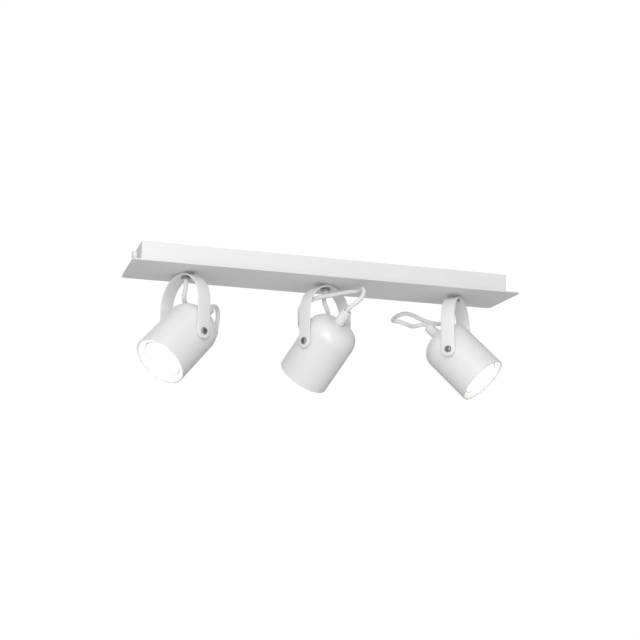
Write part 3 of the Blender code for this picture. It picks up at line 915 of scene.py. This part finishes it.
def slot_across(face):
    """Straight driver slot: the face drops by 1.1 mm where |y| is under 0.55 mm."""
    def offset(angle, r, h):
        top = np.clip((h - face + 0.0013) / 0.0003, 0, 1)
        away = np.abs(r * np.sin(angle))
        return -0.0011 * top * np.clip((0.00075 - away) / 0.0002, 0, 1)
    return offset


class SPOTBAR_OT_yokes(bpy.types.Operator):
    """Bent strap yokes with round leg ends"""
    bl_idname = "spot_bar.yokes"
    bl_label = "Yokes"

    def execute(self, context):
        coat = finish_for("yoke_coat", powder_coat, 1.0, 0.36)
        for tag in SPOTS:
            piece = loft(f"strap_{tag}", put(strap_rings(), yoke_place(tag)))
            dress(piece, coat, f"arm_{tag}", "yoke_white", f"yoke_{tag}")
        return {"FINISHED"}


def strap_rings():
    """Cross-sections of the strap along its path, a half circle with two straight legs.

    Each is a rectangle with round corners of half width w, and below the pivot w^2 is
    the full half width squared less the drop squared.
    """
    half, thick = sizes().yoke_width / 2, STRAP_THICKNESS
    radius = YOKE_RADIUS - thick / 2
    middle = YOKE_TOP - YOKE_RADIUS
    past = np.linspace(math.pi / 2 * 0.985, 0, 16)
    rise = np.linspace(PIVOT_HEIGHT * MM, middle, 12)[1:-1]
    bend = np.linspace(0, math.pi / 2, 33)
    x = np.concatenate([np.full(26, radius), radius * np.cos(bend)])
    z = np.concatenate([PIVOT_HEIGHT * MM - half * np.sin(past), rise,
                        middle + radius * np.sin(bend)])
    width = np.concatenate([half * np.cos(past), np.full(43, half)])
    line = np.stack([x, np.zeros(59), z], axis=1)
    line = np.concatenate([line, line[-2::-1] * np.array([-1.0, 1.0, 1.0])])
    width = np.concatenate([width, width[-2::-1]])[:, None]
    along = np.gradient(line, axis=0)
    along /= np.linalg.norm(along, axis=1)[:, None]
    normal = np.cross([0.0, 1.0, 0.0], along)
    edge = np.minimum(sizes().edge_radius * 1.3, width * 0.9)
    corner, outward = rounded_outline(2.0, 2.0, 0.0, 5)
    across = np.sign(corner[:, 0]) * (width - edge) + outward[:, 0] * edge
    through = np.sign(corner[:, 1]) * (thick / 2 - edge) + outward[:, 1] * edge
    rings = line[:, None, :] + through[:, :, None] * normal[:, None, :]
    rings[:, :, 1] += across
    return rings


class SPOTBAR_OT_cans(bpy.types.Operator):
    """Spun cans: straight wall, round shoulder, flat rear and a rolled mouth"""
    bl_idname = "spot_bar.cans"
    bl_label = "Cans"

    def execute(self, context):
        outer = sizes().can_radius
        inner, roof = outer - CAN_WALL, CAN_REAR - CAN_WALL
        corners = [(outer, CAN_MOUTH), (outer, CAN_REAR), (0.005, CAN_REAR), (0.005, roof),
                   (inner, roof), (inner, CAN_MOUTH)]
        radii = (0.0005, CAN_SHOULDER, 0.0003, 0.0003, CAN_SHOULDER - CAN_WALL, 0.0005)
        profile = rounded_profile(corners, radii, closed=True)
        coat = finish_for("can_coat", powder_coat, 1.0, 0.33)
        for tag in SPOTS:
            piece = lathe(f"can_{tag}", profile, can_place(tag), 128, closed=True)
            dress(piece, coat, f"spot_{tag}", "can_white", f"can_shell_{tag}")
        return {"FINISHED"}


class SPOTBAR_OT_bosses(bpy.types.Operator):
    """Turned cable outlets on the cans' rears"""
    bl_idname = "spot_bar.bosses"
    bl_label = "Rear bosses"

    def execute(self, context):
        corners = [(0.0047, 0.0343), (BOSS_RADIUS, 0.0343), (BOSS_RADIUS, BOSS_END),
                   (0.0045, BOSS_END), (0.0045, 0.044), (CABLE_HOLE, 0.044),
                   (CABLE_HOLE, 0.0242), (0.0047, 0.0242)]
        radii = (0, 0.0003, 0.0006, 0.0004, 0, 0, 0.0003, 0.0003)
        profile = rounded_profile(corners, radii, 0.0004, closed=True)
        coat = finish_for("boss_coat", powder_coat, 0.99, 0.34)
        for tag in SPOTS:
            piece = lathe(f"boss_{tag}", profile, can_place(tag), 64, closed=True)
            dress(piece, coat, f"spot_{tag}", "boss_white", f"rear_boss_{tag}")
        return {"FINISHED"}


class SPOTBAR_OT_pivots(bpy.types.Operator):
    """Nylon bushes and cross-recess screws on which the cans tilt"""
    bl_idname = "spot_bar.pivots"
    bl_label = "Tilt pivots"

    def execute(self, context):
        nylon = finish_for("nylon", moulded, NYLON)
        metal = finish_for("dark_plate", dark_plate)
        for tag in SPOTS:
            for name, side in (("front", 1), ("back", -1)):
                place = side_place(tag, side)
                leg = YOKE_RADIUS - side * SPOTS[tag][3] * MM
                piece = lathe(f"bush_{name}_{tag}", bush_profile(leg - 0.0023), place, 64,
                              closed=True)
                dress(piece, nylon, f"spot_{tag}", "nylon", f"pivot_bush_{name}_{tag}")
                piece = lathe(f"screw_{name}_{tag}", screw_profile(leg + 0.0003), place, 128,
                              press=cross_recess(leg + 0.0012))
                dress(piece, metal, f"spot_{tag}", "dark_screw", f"tilt_screw_{name}_{tag}")
        return {"FINISHED"}


def bush_profile(face):
    """Flanged bush: its flange fills the gap between the can and the leg."""
    edge = min(0.0004, (face - 0.0333) * 0.4)
    return rounded_profile(
        [(0.0060, 0.0333), (0.0060, face), (0.0023, face), (0.0023, 0.0285),
         (0.0035, 0.0285), (0.0035, 0.0333)],
        (edge, edge, 0.0002, 0.0002, 0.0003, 0), 0.0001, closed=True)


def screw_profile(head):
    """Plain shank under a domed head 8.4 mm across."""
    arc = np.linspace(0.08, math.pi / 2, 34)[::-1]
    dome = np.stack([0.0042 * np.sin(arc), head + 0.0008 + 0.0017 * np.cos(arc)], axis=1)
    return np.concatenate([
        [(0.0003, 0.0290), (0.0018, 0.0290), (0.0020, 0.0293), (0.0020, head),
         (0.0040, head), (0.0042, head + 0.0002)], dome])


def cross_recess(level):
    """Cross recess: the head drops where a point is within 0.45 mm of either arm.

    The drop fades in over 0.2 mm at the arms' sides and over the last 0.5 mm of their
    2.5 mm reach.
    """
    def offset(angle, r, h):
        top = np.clip((h - level) / 0.0003, 0, 1)
        x, y = np.abs(r * np.cos(angle)), np.abs(r * np.sin(angle))
        arm = np.clip((0.00062 - np.minimum(x, y)) / 0.0002, 0, 1)
        reach = np.clip((0.0027 - np.maximum(x, y)) / 0.0005, 0, 1)
        return -0.0014 * top * arm * reach
    return offset


class SPOTBAR_OT_fixings(bpy.types.Operator):
    """Threaded hollow nipples, their hexagon nuts and the friction washers"""
    bl_idname = "spot_bar.fixings"
    bl_label = "Fixings"

    def execute(self, context):
        zinc = finish_for("zinc_plate", zinc_plate)
        dark = finish_for("dark_plate", dark_plate)
        nylon = finish_for("nylon", moulded, NYLON)
        for tag in SPOTS:
            place = yoke_place(tag)
            low, high = (corner[2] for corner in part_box(f"nipple_{tag}"))
            lip = low + 0.0015
            outer = denser(np.array([
                (0.0038, low), (NIPPLE_RADIUS, low + 0.0004),
                (NIPPLE_RADIUS, high - 0.0004), (0.0038, high)]), 0.0001)
            inner = np.array([(NIPPLE_BORE, high), (NIPPLE_BORE, lip),
                              (CABLE_HOLE, lip), (CABLE_HOLE, low)])
            piece = lathe(f"stem_{tag}", np.concatenate([outer, inner]), place, 48,
                          closed=True, swell=thread)
            dress(piece, zinc, "bar", "zinc", f"nipple_{tag}")
            self.ring(f"washer_{tag}", f"friction_washer_{tag}", 0.008, nylon, "nylon", place)
            self.nut(f"back_nut_{tag}", f"inner_nut_{tag}", zinc, "zinc", place)
            self.nut(f"front_nut_{tag}", f"lock_nut_{tag}", dark, "dark_screw", place)
        return {"FINISHED"}

    def ring(self, name, node, outer, material, slot, place):
        """A flat washer in the height of its CAD part."""
        low, high = (corner[2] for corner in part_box(node))
        profile = rounded_profile([(outer, low), (outer, high), (0.0045, high), (0.0045, low)],
                                  0.0002, 0.0002, closed=True)
        dress(lathe(name, profile, place, 72, closed=True), material, "bar", slot, node)

    def nut(self, name, node, material, slot, place):
        """A hexagon nut in the box of its CAD part."""
        low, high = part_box(node)
        flat = min(high[0] - low[0], high[1] - low[1]) / 2
        point = flat / math.cos(math.pi / 6)
        rise = (point - flat) * 0.58
        profile = denser(np.array([
            (0.0049, low[2]), (flat * 0.98, low[2]), (point, low[2] + rise),
            (point, high[2] - rise), (flat * 0.98, high[2]), (0.0049, high[2])]), 0.0003)
        bore = np.array([(0.0045, high[2] - 0.0004), (0.0045, low[2] + 0.0004)])
        piece = lathe(name, np.concatenate([profile, bore]), (np.eye(3), place[1]), 96,
                      closed=True, swell=hexagon(flat))
        piece.data.set_sharp_from_angle(angle=math.radians(24))
        dress(piece, material, "bar", slot, node)


def thread(angle, r, h):
    """Screw thread: the outside dips by 0.4 mm as a triangle wave of h less the turn."""
    phase = (h / 0.001 - angle / (2 * math.pi)) % 1.0
    return 1 - (r > 0.0037) * 0.08 * np.abs(2 * phase - 1)


def hexagon(flat):
    """Radius held inside a hexagon: flat over the cosine of the angle from a flat."""
    def factor(angle, r, h):
        side = (angle + math.pi / 6) % (math.pi / 3) - math.pi / 6
        return np.minimum(1.0, flat / np.cos(side) / r)
    return factor


class SPOTBAR_OT_lamps(bpy.types.Operator):
    """Lit lamp faces and the white rings round them with a painted glow, with the lamps and
    holders behind
    """
    bl_idname = "spot_bar.lamps"
    bl_label = "Lamps"

    def execute(self, context):
        glow = finish_for("glowing_lens", glowing_lens, 1.05)
        # The white rings round the lamp faces get a painted glow of strength 0.42.
        baffle = finish_for("lit_baffle", lit_baffle, 0.42)
        share = np.linspace(1, 0.01, 22)
        face = np.stack([0.0226 * share, -0.0460 + 0.0014 * share**2], axis=1)
        lens = np.concatenate([[(0.0003, -0.0433), (0.0232, -0.0433), (0.0236, -0.0436),
                                (0.0236, -0.0444), (0.0233, -0.0446)], face])[::-1]
        ring = rounded_profile(
            [(0.0264, -0.0458), (0.0264, -0.0420), (0.0256, -0.0420), (0.0256, -0.0466),
             (0.0303, -0.0488), (0.0314, -0.0488), (0.0314, -0.0470)],
            (0.0003, 0.0002, 0.0002, 0.0006, 0.0003, 0.0003, 0.0003), 0.0002, closed=True)
        for tag in SPOTS:
            place = can_place(tag)
            piece = lathe(f"lens_{tag}", lens, place, 96)
            dress(piece, glow, f"spot_{tag}", "lamp_glow", f"lamp_lens_{tag}")
            piece = lathe(f"baffle_{tag}", ring, place, 96, closed=True)
            dress(piece, baffle, f"spot_{tag}", "baffle_white", f"baffle_ring_{tag}")
            redress(f"spot_lamp_{tag}", finish_for("lamp_body", moulded, (0.82, 0.82, 0.82),
                                                   300.0, 0.3))
            redress(f"lamp_holder_{tag}", finish_for("fired_ceramic", fired_ceramic))
        return {"FINISHED"}


class SPOTBAR_OT_wiring(bpy.types.Operator):
    """Bracket, terminal block, earth screw and the sleeved leads inside the tray"""
    bl_idname = "spot_bar.wiring"
    bl_label = "Wiring and bracket"

    def execute(self, context):
        zinc = finish_for("zinc_plate", zinc_plate)
        redress("ceiling_bracket", zinc)
        redress("earth_screw", zinc)
        block = finish_for("terminal", moulded, (0.74, 0.74, 0.68), 240.0, 0.35)
        redress("terminal_block", block)
        sleeve = finish_for("woven_sleeve", woven_sleeve)
        for tag, route in LEAD_ROUTES.items():
            line, _ = smooth_line(np.array(route) * MM, step=0.0015)
            piece = cord_tube(f"inner_lead_{tag}", line, radius=0.0018, across=20)
            dress(piece, sleeve, "bar", "lead_brown", f"lead_{tag}")
        return {"FINISHED"}


STEPS = (SPOTBAR_OT_stage, SPOTBAR_OT_cables, SPOTBAR_OT_plate, SPOTBAR_OT_tray,
         SPOTBAR_OT_thumb_screws, SPOTBAR_OT_yokes, SPOTBAR_OT_cans, SPOTBAR_OT_bosses,
         SPOTBAR_OT_pivots, SPOTBAR_OT_fixings, SPOTBAR_OT_lamps, SPOTBAR_OT_wiring)


class SPOTBAR_PT_panel(bpy.types.Panel):
    """The sizes and colours, and a button for each group of pieces"""
    bl_idname = "SPOTBAR_PT_panel"
    bl_label = "Ceiling Spot Bar"
    bl_space_type = "VIEW_3D"
    bl_region_type = "UI"
    bl_category = "Spot Bar"

    def draw(self, context):
        layout = self.layout
        for group in (sizes(), colours()):
            for name in group.__annotations__:
                layout.prop(group, name)
        for step in STEPS:
            layout.operator(step.bl_idname)


CLASSES = (SpotBarSizes, SpotBarColours, *STEPS, SPOTBAR_PT_panel)


def register():
    for cls in CLASSES:
        bpy.utils.register_class(cls)
    bpy.types.Scene.spot_bar_sizes = PointerProperty(type=SpotBarSizes)
    bpy.types.Scene.spot_bar_colours = PointerProperty(type=SpotBarColours)


def unregister():
    del bpy.types.Scene.spot_bar_colours
    del bpy.types.Scene.spot_bar_sizes
    for cls in reversed(CLASSES):
        bpy.utils.unregister_class(cls)


def main():
    register()
    for step in STEPS:
        group, name = step.bl_idname.split(".")
        getattr(getattr(bpy.ops, group), name)()


if __name__ == "__main__":
    main()
